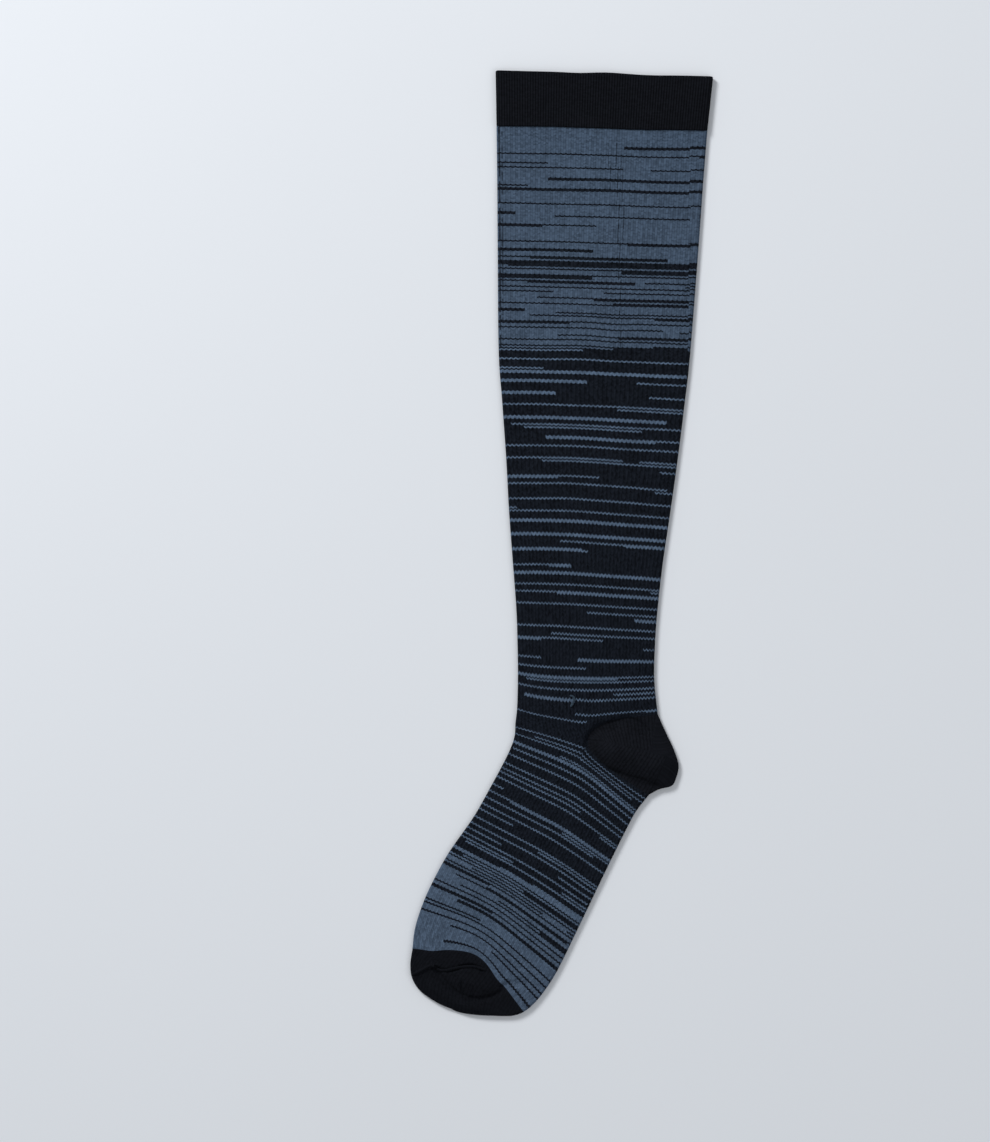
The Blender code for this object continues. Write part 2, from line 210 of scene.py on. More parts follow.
def heelShape(t, skew):
    return tube["heelRise"] * np.sqrt(np.clip(4 * t * (1 - t), 0, 1)) * (1 + skew * (1 - 2 * t))


def bowedLine(start, end, bow, shape, skew, t):
    a, b = np.array(start), np.array(end)
    run = b - a
    across = np.array((-run[1], run[0])) / math.hypot(*run)
    return a + run * t[:, None] + across * (bow * shape(t, skew))[:, None]


def row(line, edge, loft):  # a row of the cloth: x, y, edge and loft at each of its points
    return np.column_stack((line, np.full(len(line), edge), np.full(len(line), loft)))


def roundRow(x, y, width, tilt, bow, edge, loft, skew, corner=None):
    half, share = tube["linePoints"], tube["heelShare"]
    t = np.concatenate((np.linspace(0, share, half + 1), np.linspace(share, 1, half + 1)[1:]))
    reach = width / 2 * np.array((math.cos(math.radians(tilt)), math.sin(math.radians(tilt))))
    middle = np.array((x, y))
    shape = (cornerShape, corner) if corner else (roundShape, skew)
    return row(bowedLine(middle - reach, middle + reach, bow, *shape, t), edge, loft)


def heelRow(x, y, bow, loft):
    t = np.linspace(0, 1, tube["linePoints"] + 1)
    line = bowedLine(tube["heelPoint"], (x, y), bow, heelShape, tube["heelSkew"], t)
    return row(line, tube["edge"], loft)


def splitRow(side):  # the round through the heel's point, along one side of the heel
    t = np.linspace(0, 1, tube["linePoints"] + 1)
    front = bowedLine(tube["splitFront"], tube["heelPoint"], tube["splitBow"], roundShape, 0, t)
    back = heelRow(*heelRows[side])
    return row(np.concatenate((front[:-1], back[:, :2])), tube["edge"], back[0, 3])


def withEnds(keys):  # one more key before and after the others, for a spline
    return [2 * keys[0] - keys[1], *keys, 2 * keys[-1] - keys[-2]]


def spline(a, b, c, d, t):  # the share t of the way from b to c, with a before and d after them
    leave, arrive, rise = (c - a) / 2, (d - b) / 2, c - b
    bend = 3 * rise - 2 * leave - arrive
    return b + t * (leave + t * (bend + t * (leave + arrive - 2 * rise)))


def middleGap(a, b):  # between the middles of two rows, in plan
    return math.dist(a[len(a) // 2][:2], b[len(b) // 2][:2])


def between(keys, names, first, last, pitch):  # smooth rows through all key rows, cut to a stretch
    chain = withEnds(keys)
    rows = []
    for i in range(names.index(first), names.index(last)):
        near = chain[i : i + 4]
        steps = max(1, round(middleGap(near[1], near[2]) / pitch))
        rows += [spline(*near, t) for t in np.arange(steps) / steps]
    rows.append(keys[names.index(last)])
    return rows


def moved(ring, other, step):  # a row moved away from another one, in plan
    off = ring[:, :2] - other[:, :2]
    off = off / np.maximum(np.hypot(off[:, 0], off[:, 1]), 1e-6)[:, None]
    return np.column_stack((ring[:, :2] + off * step, ring[:, 2:]))


def lip(ring, other, wall):  # rings round a folded edge, from the outer face to the inner one
    turns = [math.radians(angle) for angle in (30, 60, 90, 120, 150)]
    return [(moved(ring, other, wall / 2 * math.sin(a)), wall / 2 * (1 - math.cos(a))) for a in turns]


def place(rings, insets, q, wholeRound):
    # the points of the rings, at places q round the tube: 0 on the back fold, 1 on the front one
    # (or at the heel's point), over the upper layer if positive and the lower one if negative
    edge, loft = rings[:, :1, 2], rings[:, :1, 3]
    inset = np.array(insets)[:, None]
    steps = np.hypot(*np.moveaxis(np.diff(rings[:, :, :2], axis=1), 2, 0))
    run = np.concatenate((np.zeros((len(rings), 1)), np.cumsum(steps, axis=1)), axis=1)
    total, radius = run[:, -1:], edge / 2
    arc = radius * math.pi / 2
    flat = total - edge if wholeRound else total - radius
    gone = np.abs(q)[None, :] * (flat + (2 * arc if wholeRound else arc))
    backTurn = np.clip(gone / radius, 0, math.pi / 2)
    frontTurn = np.clip((flat + 2 * arc - gone) / radius, 0, math.pi / 2)
    tight = radius - inset
    fromBack = radius + gone - arc
    fromBack = np.where(gone < arc, radius - tight * np.cos(backTurn), fromBack)
    if wholeRound:
        fromBack = np.where(gone > arc + flat, total - radius + tight * np.cos(frontTurn), fromBack)
    else:
        frontTurn = np.full(gone.shape, math.pi / 2)
    distance = total - fromBack
    x = np.array([np.interp(d, r, p[:, 0]) for d, r, p in zip(distance, run, rings)])
    y = np.array([np.interp(d, r, p[:, 1]) for d, r, p in zip(distance, run, rings)])
    share = np.clip((distance - radius) / flat, 0, 1)
    fromFold = np.minimum(distance, fromBack) - radius
    if not wholeRound:  # every row of the heel has one height at its point
        share = tube["heelShare"] + (1 - tube["heelShare"]) * np.clip(distance / flat, 0, 1)
        fromFold = fromBack - radius
        loft = loft[0] + (loft - loft[0]) * np.clip(distance / tube["heelBlend"], 0, 1)
    dome = np.sin(math.pi * share) ** tube["domePower"]
    fade = np.clip(fromFold / tube["foldFade"], 0, 1)
    least = 2 * tube["wall"] + tube["layerGap"]
    lift = np.maximum(0, (least - edge) / 2)
    top = edge + loft * dome + (relief(x, y) + ease(x, y)) * fade
    top = np.where(lift > 0, top, np.maximum(top, least))
    rise = np.sin(np.minimum(backTurn, frontTurn))
    flatPart = (gone >= arc) & (frontTurn >= math.pi / 2)
    upper = np.where(flatPart, top - inset, radius + tight * rise)
    lower = np.where(flatPart, inset, radius - tight * rise)
    for cx, cy, reach, step in drifts:
        y = y + step * np.exp(-((x - cx) ** 2 + (y - cy) ** 2) / reach**2)
    return np.stack((x, y, lift + np.where(q > 0, upper, lower)), 2)


def aroundTube(columns):  # places round a closed tube, from the back fold over the upper layer
    share = np.linspace(0, 2, columns + 1)
    return np.where(share <= 1, share, share - 2)


def outward(points):  # unit normals of a grid of points in whole rounds
    ring = points[:, :-1]
    across = np.roll(ring, -1, 1) - np.roll(ring, 1, 1)
    normal = np.cross(across, np.gradient(ring, axis=0))
    normal /= np.maximum(np.linalg.norm(normal, axis=2), 1e-9)[:, :, None]
    return np.concatenate((normal, normal[:, :1]), axis=1)


def gridArea(points):
    a, b, c, d = points[:-1, :-1], points[:-1, 1:], points[1:, 1:], points[1:, :-1]
    return np.linalg.norm(np.cross(c - a, d - b), axis=2).sum() / 2


shell = {
    "innerPitch": 8.0,  # rows on the inside are this far apart, in millimetres
    "outerShare": 0.88,  # share of the bake map that the outside takes
    "mapMargin": 0.003,
    "leastRow": 0.3,  # least height of a row in the bake map, in millimetres
    "sharpAngle": 55,
    "mergeGap": 0.00001,  # metres, as the next two
    "trimMergeGap": 0.000005,
    "leastEdge": 0.000001,
}


def shellRings(rows, wall, lips, hollow):
    # the rings of a closed wall, outside first, each with how far it is set in, and with the
    # number of the outer row that each belongs to
    rings = [(r, 0.0) for r in rows]
    if lips[1]:
        rings += lip(rows[-1], rows[-2], wall)
    length = sum(middleGap(a, b) for a, b in zip(rows, rows[1:]))
    steps = 2 + round(length / shell["innerPitch"])
    inner = np.unique(np.linspace(0, hollow or len(rows) - 1, steps).round().astype(int))[::-1]
    owner = [*range(len(rows)), *[len(rows) - 1] * (len(rings) - len(rows)), *inner]
    rings += [(rows[i], wall) for i in inner]
    if lips[0]:
        rings += lip(rows[0], rows[1], wall)[::-1]
    rings.append((rows[0], 0.0))
    owner += [0] * (len(rings) - len(owner))
    return rings, owner


def sinkGrooves(points, depth, wave, atFirst, atLast):
    # grooves between ribs, which reach their depth that many rows from either end
    soft = 0.1  # keeps the first row from being quite flat
    gone = np.arange(len(points))
    grown = np.minimum((gone + soft) / (atFirst + soft), (gone[::-1] + soft) / (atLast + soft))
    sunk = depth * np.clip(grown, 0, 1)[:, None] * wave[None, :]
    points -= outward(points) * sunk[:, :, None]


def bakePlaces(points, outerCount):  # a place in the bake map for each point
    steps = np.linalg.norm(np.diff(points[:, points.shape[1] // 4], axis=0), axis=1)
    up = np.concatenate(((0,), np.cumsum(np.maximum(steps, shell["leastRow"]))))
    split, share, margin = up[outerCount - 1], shell["outerShare"], shell["mapMargin"]
    inside = share + (up - split) / (up[-1] - split) * (1 - share)
    up = np.where(np.arange(len(up)) < outerCount, up / split * share, inside)
    across = np.linspace(margin, 1 - margin, points.shape[1])
    return np.stack(np.broadcast_arrays(across[None, :], margin + (1 - 2 * margin) * up[:, None]), 2)


def gridMesh(name, points, maps):
    rows, columns = points.shape[:2]
    body = bmesh.new()
    for layer in maps:
        body.loops.layers.uv.new(layer)
    bmesh.ops.create_grid(body, x_segments=columns - 1, y_segments=rows - 1, size=0.5, calc_uvs=True)
    mesh = bpy.data.meshes.new(name)
    body.to_mesh(mesh)
    body.free()
    mesh.vertices.foreach_set("co", (points.reshape(-1, 3) * mm).astype(np.float32).ravel())
    corner = np.zeros(len(mesh.loops), int)
    mesh.loops.foreach_get("vertex_index", corner)
    for layer, places in maps.items():
        flat = places.reshape(-1, 2)[corner].astype(np.float32).ravel()
        mesh.uv_layers[layer].uv.foreach_set("vector", flat)
    return mesh


def closeSeams(body, gap):  # merges doubles, turns the faces outwards and counts the open edges
    bmesh.ops.remove_doubles(body, verts=body.verts, dist=gap)
    bmesh.ops.dissolve_degenerate(body, edges=body.edges, dist=shell["leastEdge"])
    bmesh.ops.recalc_face_normals(body, faces=body.faces)
    return sum(len(edge.link_faces) != 2 for edge in body.edges)


def addThing(name, data):
    thing = bpy.data.objects.new(name, data)
    bpy.context.collection.objects.link(thing)
    return thing


def knitShell(
    name, cloth, rows, q, wall, wales, courses, ribs=None, lips=(False, False), hollow=None
):
    # cloth: node, slot and material; the slot is not used. rows: the outer face, in whole rounds, or
    # in rows of the heel.
    # wales, courses: the knit's own places, for each outer row and column.
    # ribs: (depth, wave over the columns, rows to its full depth at either end).
    # lips: whether the first and last edge is a fold.
    # hollow: where the inside ends before the outside, in a closed toe.
    rings, owner = shellRings(rows, wall, lips, hollow)
    outerCount = len(rows)
    wholeRound = q[0] == 0
    points = place(np.array([r for r, inset in rings]), [inset for r, inset in rings], q, wholeRound)
    if hollow:  # the two layers meet at the toe's tip, outside and inside
        for k in (outerCount - 1, outerCount):
            points[k, :, 2] = (points[k, :, 2] + points[k, ::-1, 2]) / 2
    area = gridArea(points[:outerCount])
    if ribs:
        sinkGrooves(points[:outerCount], *ribs)
        points[:, :, 2] = np.maximum(points[:, :, 2], 0)
        points[-1] = points[0]
    knit = np.stack((wales[owner], courses[owner]), 2)
    mesh = gridMesh(name, points, {"OFBake": bakePlaces(points, outerCount), "knit": knit})
    body = bmesh.new()
    body.from_mesh(mesh)
    if hollow:  # no cloth joins the outside of the tip to the end of the hollow
        body.faces.ensure_lookup_table()
        gone = body.faces[(outerCount - 1) * (len(q) - 1) : outerCount * (len(q) - 1)]
        bmesh.ops.delete(body, geom=gone, context="FACES")
    openEdges = closeSeams(body, shell["mergeGap"])
    body.to_mesh(mesh)
    body.free()
    mesh.shade_smooth()
    mesh.set_sharp_from_angle(angle=math.radians(shell["sharpAngle"]))
    points = points[:outerCount]
    around = np.linalg.norm(np.diff(points, axis=1), axis=2).sum(1).max()
    along = np.linalg.norm(np.diff(points, axis=0), axis=2).sum(0).max()
    triangles = sum(len(f.vertices) - 2 for f in mesh.polygons)
    print(f"{name}: {triangles} triangles, {openEdges} open edges")
    print(f"{name}: {around:.0f} x {along:.0f} mm, {area:.0f} mm2")
    dress(addThing(name, mesh), *cloth, (around * mm, along * mm), area * mm * mm)
    return points


def courseOf(rows, first):  # courses gone at each row, by the middle of the round
    steps = [middleGap(a, b) for a, b in zip(rows, rows[1:])]
    return first + np.concatenate(((0,), np.cumsum(steps))) / knitting["coursePitch"]


def dress(piece, node, slotName, material, flat, area):
    piece.data.materials.append(material)
    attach(piece, "root")
    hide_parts(node)
    min(area, flat[0] * flat[1])


knitting = {
    "needles": 168,
    "coursePitch": 0.86,
    "ribColumns": 6,  # mesh columns to a rib of two wales
    "ribDepth": 0.13,
    "ribRows": 3,  # a rib reaches its depth this many rows from a seam
    "legPitch": 2.0,  # between the mesh's rows
    "footPitch": 1.6,
    "weltTuck": 0.6,  # the leg runs this far under the welt's rim
    "seamWale": 7,  # the round starts this many wales from the back fold, at the welt
    "spiral": 0.04,  # wales that the round's start wanders at each course
}
yarns = {
    "slateTop": (0.0575, 0.0860, 0.1310),
    "slateFoot": (0.0700, 0.1020, 0.1530),
    "darkTop": (0.0074, 0.0096, 0.0142),
    "darkFoot": (0.0079, 0.0102, 0.0155),
    "black": (0.0058, 0.0066, 0.0090),
    "looseYarn": (0.0300, 0.0470, 0.0680),
}
fibre = {
    "sheenRoughness": 0.45,
    "roughness": 0.80,
    "rougherOnTop": 0.08,  # how much is added at the top of a stitch
    "bump": 0.00025,  # metres
}


class Wire:  # a socket, with the arithmetic that the knit needs
    def __init__(self, shade, socket):
        self.shade, self.socket = shade, socket

    def math(self, operation, *others):
        sockets = dict(enumerate((self, *others)))
        return self.shade.make("ShaderNodeMath", {"operation": operation}, sockets)

    def other(self, name):
        return Wire(self.shade, self.socket.node.outputs[name])

    def __add__(self, value):
        return self.math("ADD", value)

    def __mul__(self, value):
        return self.math("MULTIPLY", value)

    def __sub__(self, value):
        return self.math("SUBTRACT", value)

    def __rsub__(self, value):
        return self.math("MULTIPLY_ADD", -1.0, value)

    def __truediv__(self, value):
        return self.math("DIVIDE", value)

    def __mod__(self, value):
        return self.math("FLOORED_MODULO", value)

    def __gt__(self, value):
        return self.math("GREATER_THAN", value)

    def __lt__(self, value):
        return self.math("LESS_THAN", value)

    def __or__(self, value):  # the larger
        return self.math("MAXIMUM", value)

    def __and__(self, value):  # the smaller
        return self.math("MINIMUM", value)

    def __abs__(self):
        return self.math("ABSOLUTE")

    def floor(self):
        return self.math("FLOOR")

    __radd__, __rmul__ = __add__, __mul__


class Shade:  # a material under construction
    def __init__(self, name, sheen, specular):
        self.material = bpy.data.materials.new(name)
        self.material.use_nodes = True
        self.tree = self.material.node_tree
        self.skin = self.tree.nodes["Principled BSDF"]
        self.skin.inputs["Sheen Weight"].default_value = sheen
        self.skin.inputs["Sheen Roughness"].default_value = fibre["sheenRoughness"]
        self.skin.inputs["Specular IOR Level"].default_value = specular

    def make(self, kind, settings=None, sockets=None, out=0):
        node = self.tree.nodes.new(kind)
        for name, value in (settings or {}).items():
            setattr(node, name, value)
        for name, value in (sockets or {}).items():
            self.plug(node.inputs[name], value)
        return Wire(self, node.outputs[out])

    def plug(self, socket, value):
        if isinstance(value, Wire):
            self.tree.links.new(value.socket, socket)
        else:
            socket.default_value = value

    def blend(self, share, a, b):
        a, b = ((*c, 1.0) if isinstance(c, tuple) else c for c in (a, b))
        return self.make("ShaderNodeMix", {"data_type": "RGBA"}, {0: share, 6: a, 7: b}, out=2)

    def dim(self, colour, share):  # a colour times a number
        return self.make("ShaderNodeVectorMath", {"operation": "SCALE"}, {0: colour, 3: share})

    def chance(self, seed):  # three random numbers for each value of the seed
        kind = {"noise_dimensions": "1D"}
        found = self.make("ShaderNodeTexWhiteNoise", kind, {"W": seed}, out="Color")
        first = self.make("ShaderNodeSeparateColor", {}, {0: found})
        return first, first.other("Green"), first.other("Blue")

    def cell(self, across, along):  # one random number for each cell of a grid
        spot = self.make("ShaderNodeCombineXYZ", {}, {0: across.floor(), 1: along.floor()})
        return self.make("ShaderNodeTexWhiteNoise", {"noise_dimensions": "2D"}, {"Vector": spot})

    def cloud(self, scale, detail=2.0):  # soft noise over the object
        where = self.make("ShaderNodeTexCoord", out="Object")
        values = {"Vector": where, "Scale": scale, "Detail": detail}
        return self.make("ShaderNodeTexNoise", {}, values)

    def finish(self, colour, height, strength):
        self.plug(self.skin.inputs["Base Color"], colour)
        rough = fibre["roughness"] + height * fibre["rougherOnTop"]
        self.plug(self.skin.inputs["Roughness"], rough)
        values = {"Strength": strength, "Distance": fibre["bump"], "Height": height}
        bump = self.make("ShaderNodeBump", {}, values)
        self.plug(self.skin.inputs["Normal"], bump)
        return self.material


stitch = {
    # light and shade inside a stitch, as parts of its colour
    "ground": 0.84,
    "legs": 0.10,
    "pillow": 0.14,
    "gap": 0.30,
    "vee": 0.35,  # how far its sides rise over its middle, in courses
    "veeInStripes": 0.15,
    # its height, as parts of the bump
    "legsRise": 0.5,
    "pillowRise": 0.5,
    "gapFall": 0.6,
}
# every other wale of the striped knit is drawn up: by how many courses at the welt, and how much
# more is added between two courses
zigzag = {"atTop": 0.45, "ramps": ((100, 210, 0.65), (230, 330, 0.25), (400, 550, -0.85))}


def stitches(shade, drawn=False):
    # where a place lies in the knit, the light and shade inside its stitch, and its height
    where = shade.make("ShaderNodeUVMap", {"uv_map": "knit"})
    split = shade.make("ShaderNodeSeparateXYZ", {}, {0: where})
    wale, course = split, split.other("Y")
    acrossWale = abs(wale % 1.0 - 0.5) * 2.0  # 0 in the middle of a wale, 1 between two
    acrossRib = abs(wale % 2.0 - 1.0)
    lifted = course + (acrossWale - 0.5) * stitch["veeInStripes" if drawn else "vee"]
    if drawn:
        size = zigzag["atTop"]
        for first, last, more in zigzag["ramps"]:
            size = size + (((course - first) / (last - first) | 0.0) & 1.0) * more
        lifted = lifted + (acrossRib - 0.5) * size
    legs = 1.0 - abs(acrossWale - 0.5) * 2.0  # the two legs of a stitch
    gap = acrossWale * acrossWale * acrossWale * acrossWale
    inCourse = lifted % 1.0
    pillow = inCourse * (1.0 - inCourse) * 4.0
    height = legs * stitch["legsRise"] + pillow * stitch["pillowRise"] - gap * stitch["gapFall"]
    light = stitch["ground"] + legs * stitch["legs"] + pillow * stitch["pillow"] - gap * stitch["gap"]
    return SimpleNamespace(
        wale=wale, course=course, lifted=lifted, light=light, height=height,
        acrossWale=acrossWale, acrossRib=acrossRib,
    )


stripes = {
    # start: courses from the welt. cell, few: courses to a place for a line, in the main set of
    # lines and in the short ones. dark: black ground with slate lines. bold: how many lines swell.
    "upperCalf": {"start": 0, "cell": 8, "few": 14, "dark": 0, "bold": 0.0},
    "calf": {"start": 84, "cell": 4, "few": 5, "dark": 0, "bold": 1.0},
    "shin": {"start": 146, "cell": 7, "few": 16, "dark": 1, "bold": 0.0},
    "instep": {"start": 405, "cell": 6, "few": 12, "dark": 1, "bold": 0.0},
    "midFoot": {"start": 453, "cell": 5, "few": 9, "dark": 1, "bold": -1.0},
    "lowFoot": {"start": 493, "cell": 3, "few": 5, "dark": 1, "bold": 0.4},
    "ball": {"start": 517, "cell": 3, "few": 6, "dark": 0, "bold": 0.0},
    "foreFoot": {"start": 541, "cell": 4, "few": 12, "dark": 0, "bold": -1.0},
}
# pitch: which of the columns above it keeps. loose: how far a line strays in its cell.
# least, spread: its length in turns. swells: whether stretches of it are thicker.
lineSets = (
    {"seed": 124.0, "pitch": "cell", "loose": 0.50, "least": 0.28, "spread": 0.85, "swells": True},
    {"seed": 5124.0, "pitch": "few", "loose": 0.95, "least": 0.10, "spread": 0.50, "swells": False},
)
lineDraws = {
    "perCell": 3.0,  # these three keep the draws of two lines apart
    "perZone": 5.0,
    "secondDraw": 20000.0,
    "atStart": 0.15,  # share of the lines that begin where the round does
    "swelling": 0.45,  # of the draw for a line's kind: past this it swells
    "bolder": 0.70,  # past this it swells once more where the zone is bold
    "allSwollen": 0.85,  # past this it swells on its whole length
    "firstEnd": 0.2,  # where along a line its thickness may change
    "lastEnd": 0.8,
}
# no line starts this near to the black pieces. overHeel: so many more over the heel.
quietCourses = {"welt": 3, "heel": 16, "overHeel": 4, "toe": 4}
# dark lines along wales: pulled wales, and painted shade along the front fold's edge with one more
# dark line beside it. (wale, whether it counts from the round's wandering start, half width in
# wales, first and last course, how often it shows, how dark it is)
laddersAndFoldShade = {
    # painted shade: a dark line along the front fold's edge
    "frontFold": (82.5, False, 0.34, -1, 146, 0.95, 0.85),
    "besideFold": (81.3, False, 0.30, 2, 128, 0.70, 0.60),
    "calfLong": (29.0, True, 0.22, 8, 150, 0.70, 0.75),
    "calfShort": (27.0, True, 0.22, 10, 74, 0.55, 0.60),
    "calfThird": (32.0, True, 0.22, 6, 44, 0.50, 0.55),
    "calfFaint": (55.0, True, 0.22, 26, 60, 0.40, 0.45),
}
stripedLook = {
    # how far a line leaves its course: scale of the noise, courses, start
    "wander": (14.0, 2.0, -1.5),
    "lineStretch": 3.0,  # courses to a stretch of a dark line along a wale
    "lighter": 0.48,  # how much lighter the slate lines on black are, at the welt
    "lighterLoss": 0.36,  # less of it at the toe
    "speck": 0.47,  # from stitch to stitch
    "speckOnBlack": 0.32,
    "streak": 0.14,  # along a wale
    "streakCourses": 7.0,
    "ribs": 0.07,  # painted shade: every other wale, the sunk one of each rib, is darker
    "ribShadeOnBlack": 0.21,
    "patches": (60.0, 0.14),  # scale of the noise, how much it adds
    "shift": -0.02,  # added to all of it
    "darkest": 0.1,
    "bump": 0.35,
}


def lineSet(shade, zone, course, turn, seed, pitch, loose, least, spread, swells):
    # where one set of lines is knitted: each has its own course, start, length and thick stretch
    cell = ((course - zone["start"]) / zone[pitch]).floor()
    number = cell * lineDraws["perCell"] + zone["start"] * lineDraws["perZone"] + seed
    offset, begin, reach = shade.chance(number)
    change, side, kind = shade.chance(number + lineDraws["secondDraw"])
    off = course - zone["start"] - cell * zone[pitch] - (offset * (zone[pitch] * loose)).floor()
    begin = (begin * (1 + lineDraws["atStart"]) - lineDraws["atStart"]) | 0.0
    reach = least + reach * spread
    position = (turn - begin) % 1.0
    depth = 1.0
    if swells:
        first, last = lineDraws["firstEnd"], lineDraws["lastEnd"]
        thick = (kind > lineDraws["swelling"]) + zone["bold"] * (kind > lineDraws["bolder"])
        past = position > reach * (first + (last - first) * change)
        depth = 1.0 + thick * (abs((side > 0.5) - past) | (kind > lineDraws["allSwollen"]))
    return (position < reach) * (off > -0.5) * (off < depth - 0.5)


def stripeZone(course):  # the values of the zone that a course is in
    kinds = list(stripes.values())
    zone = dict(kinds[0])
    for before, after in zip(kinds, kinds[1:]):
        past = course > after["start"] - 0.5
        for key in zone:
            if after[key] != before[key]:
                zone[key] = zone[key] + past * (after[key] - before[key])
    return zone


def stripedKnit(heelCourse, toeCourse):
    look = stripedLook
    shade = Shade("stripedKnit", sheen=0.01, specular=0.02)
    knit = stitches(shade, drawn=True)
    needle = knit.wale - knitting["seamWale"] + (knit.course * knitting["spiral"]).floor()
    turn = (needle.floor() / knitting["needles"]) % 1.0
    scale, reach, start = look["wander"]
    course = (knit.lifted + turn + shade.cloud(scale) * reach + start).floor()
    zone = stripeZone(course)
    main, short = (lineSet(shade, zone, course, turn, **values) for values in lineSets)

    behind = abs(knit.wale - knitting["needles"] / 2) > knitting["needles"] / 4  # over the heel
    quiet = quietCourses["heel"] + behind * quietCourses["overHeel"]
    quiet = (course > heelCourse - quiet) * (course < heelCourse + 0.5)
    lines = (main | short) * (1.0 - quiet) * (course > quietCourses["welt"])
    lines = lines * (course < toeCourse - quietCourses["toe"])
    darkness = abs(zone["dark"] - lines)

    lineStretch = shade.cell(needle, course / look["lineStretch"])
    for at, wanders, half, first, last, often, depth in laddersAndFoldShade.values():
        across = needle if wanders else knit.wale
        waleLine = (abs(across - at) < half) * (course > first) * (course < last)
        darkness = darkness | (waleLine * (lineStretch < often) * depth)

    down = course / toeCourse
    slate = shade.blend(down, yarns["slateTop"], yarns["slateFoot"])
    lighter = zone["dark"] * (look["lighter"] - down * look["lighterLoss"])
    slate = shade.dim(slate, 1.0 + lighter)
    dark = shade.blend(down, yarns["darkTop"], yarns["darkFoot"])
    speck = shade.cell(knit.wale, course) - 0.5
    streak = shade.cell(knit.wale, course / look["streakCourses"]) - 0.5
    grain = speck * (look["speck"] + darkness * look["speckOnBlack"]) + streak * look["streak"]
    # painted shade: the sunk wale of each rib is darker, more so on the black ground
    sunk = ((knit.acrossRib > 0.5) - 0.5) * (look["ribs"] + darkness * look["ribShadeOnBlack"])
    scale, reach = look["patches"]
    body = knit.light + grain + (shade.cloud(scale) - 0.5) * reach - sunk + look["shift"]
    colour = shade.dim(shade.blend(darkness, slate, dark), body | look["darkest"])
    return shade.finish(colour, knit.height, look["bump"])


# tone: how light it is. grooves: painted shade, how dark a wale's edges are. ribs: painted shade, how
# dark every other wale is.
plainKnits = {
    "toeKnit": {"tone": 1.05, "grooves": 0.0, "ribs": 0.30},
    "weltKnit": {"tone": 0.98, "grooves": 0.80, "ribs": 0.0},
    "heelKnit": {"tone": 1.30, "grooves": 0.0, "ribs": 0.50},
}
plainLook = {"speck": 0.36, "patches": (70.0, 0.20), "bump": 0.4}


def plainKnit(name, tone, grooves, ribs):
    shade = Shade(name, sheen=0.01, specular=0.02)
    knit = stitches(shade)
    speck = shade.cell(knit.wale, knit.lifted) - 0.5
    scale, reach = plainLook["patches"]
    body = knit.light + speck * plainLook["speck"] + (shade.cloud(scale) - 0.5) * reach
    # painted shade: darker in the grooves between wales and on every other wale
    body = body - (knit.acrossWale - 0.5) * grooves - (knit.acrossRib - 0.5) * ribs
    return shade.finish(shade.dim(yarns["black"], body * tone), knit.height, plainLook["bump"])


yarnLook = {
    "fibres": (3.0, 7.0),  # how many cross its map from side to side and along it
    # painted shade between the plies: darkest is the colour's share where they meet, ply how much
    # lighter a ply's middle is
    "darkest": 0.7,
    "ply": 0.5,
    "bump": 0.4,
}


def looseYarn():
    shade = Shade("looseYarn", sheen=0.03, specular=0.10)
    where = shade.make("ShaderNodeUVMap", {"uv_map": "knit"})
    split = shade.make("ShaderNodeSeparateXYZ", {}, {0: where})
    across, along = yarnLook["fibres"]
    acrossPly = (split * across + split.other("Y") * along) % 1.0
    ply = acrossPly * (1.0 - acrossPly) * 4.0
    # painted shade: darker where two plies meet
    tone = yarnLook["darkest"] + ply * yarnLook["ply"]
    return shade.finish(shade.dim(yarns["looseYarn"], tone), ply, yarnLook["bump"])


legNames = [*legRounds, "legEnd"]
legKeys = [roundRow(*values) for values in legRounds.values()] + [splitRow("legSide")]
footNames = ["footStart", *footRounds]
footKeys = [splitRow("footSide")] + [roundRow(*values) for values in footRounds.values()]
tubeColumns = knitting["needles"] // 2 * knitting["ribColumns"]
tubeQ = aroundTube(tubeColumns)
needles = np.linspace(0, knitting["needles"], tubeColumns + 1)


def ribWave(wales, perRib):
    return 0.5 - 0.5 * np.cos(2 * math.pi * wales / perRib)


welt = {"rowPitch": 1.6, "columnsToWale": 4, "ribDepth": 0.10, "ribRows": 3}


def makeWelt(material):
    columns = knitting["needles"] * welt["columnsToWale"]
    wall = tube["weltWall"]
    rows = between(legKeys[:2], legNames, "mouth", "weltEnd", welt["rowPitch"])
    rows[0] = moved(rows[0], rows[1], -wall / 2)
    rows[-1] = moved(rows[-1], rows[-2], -wall / 2)
    wales = np.linspace(0, knitting["needles"], columns + 1)
    courses = courseOf(rows, 0)[:, None] + 0 * wales
    ribs = (welt["ribDepth"], ribWave(wales, 1), welt["ribRows"], welt["ribRows"])
    knitShell(
        "weltCloth", ("welt", "welt_knit", material), rows, aroundTube(columns), wall,
        wales + 0 * courses, courses, ribs, lips=(True, True),
    )


def makeStriped(name, node, rows, firstCourse, ribRows, material):
    courses = courseOf(rows, firstCourse)[:, None] + 0 * needles
    return knitShell(
        name, (node, "striped_knit", material), rows, tubeQ, tube["wall"],
        needles + 0 * courses, courses, (knitting["ribDepth"], ribWave(needles, 2), *ribRows),
    )


heel = {
    "rowPitch": 0.5,
    "columns": 84,  # from the heel's point to its fold
    "waleWidth": 1.05,
}


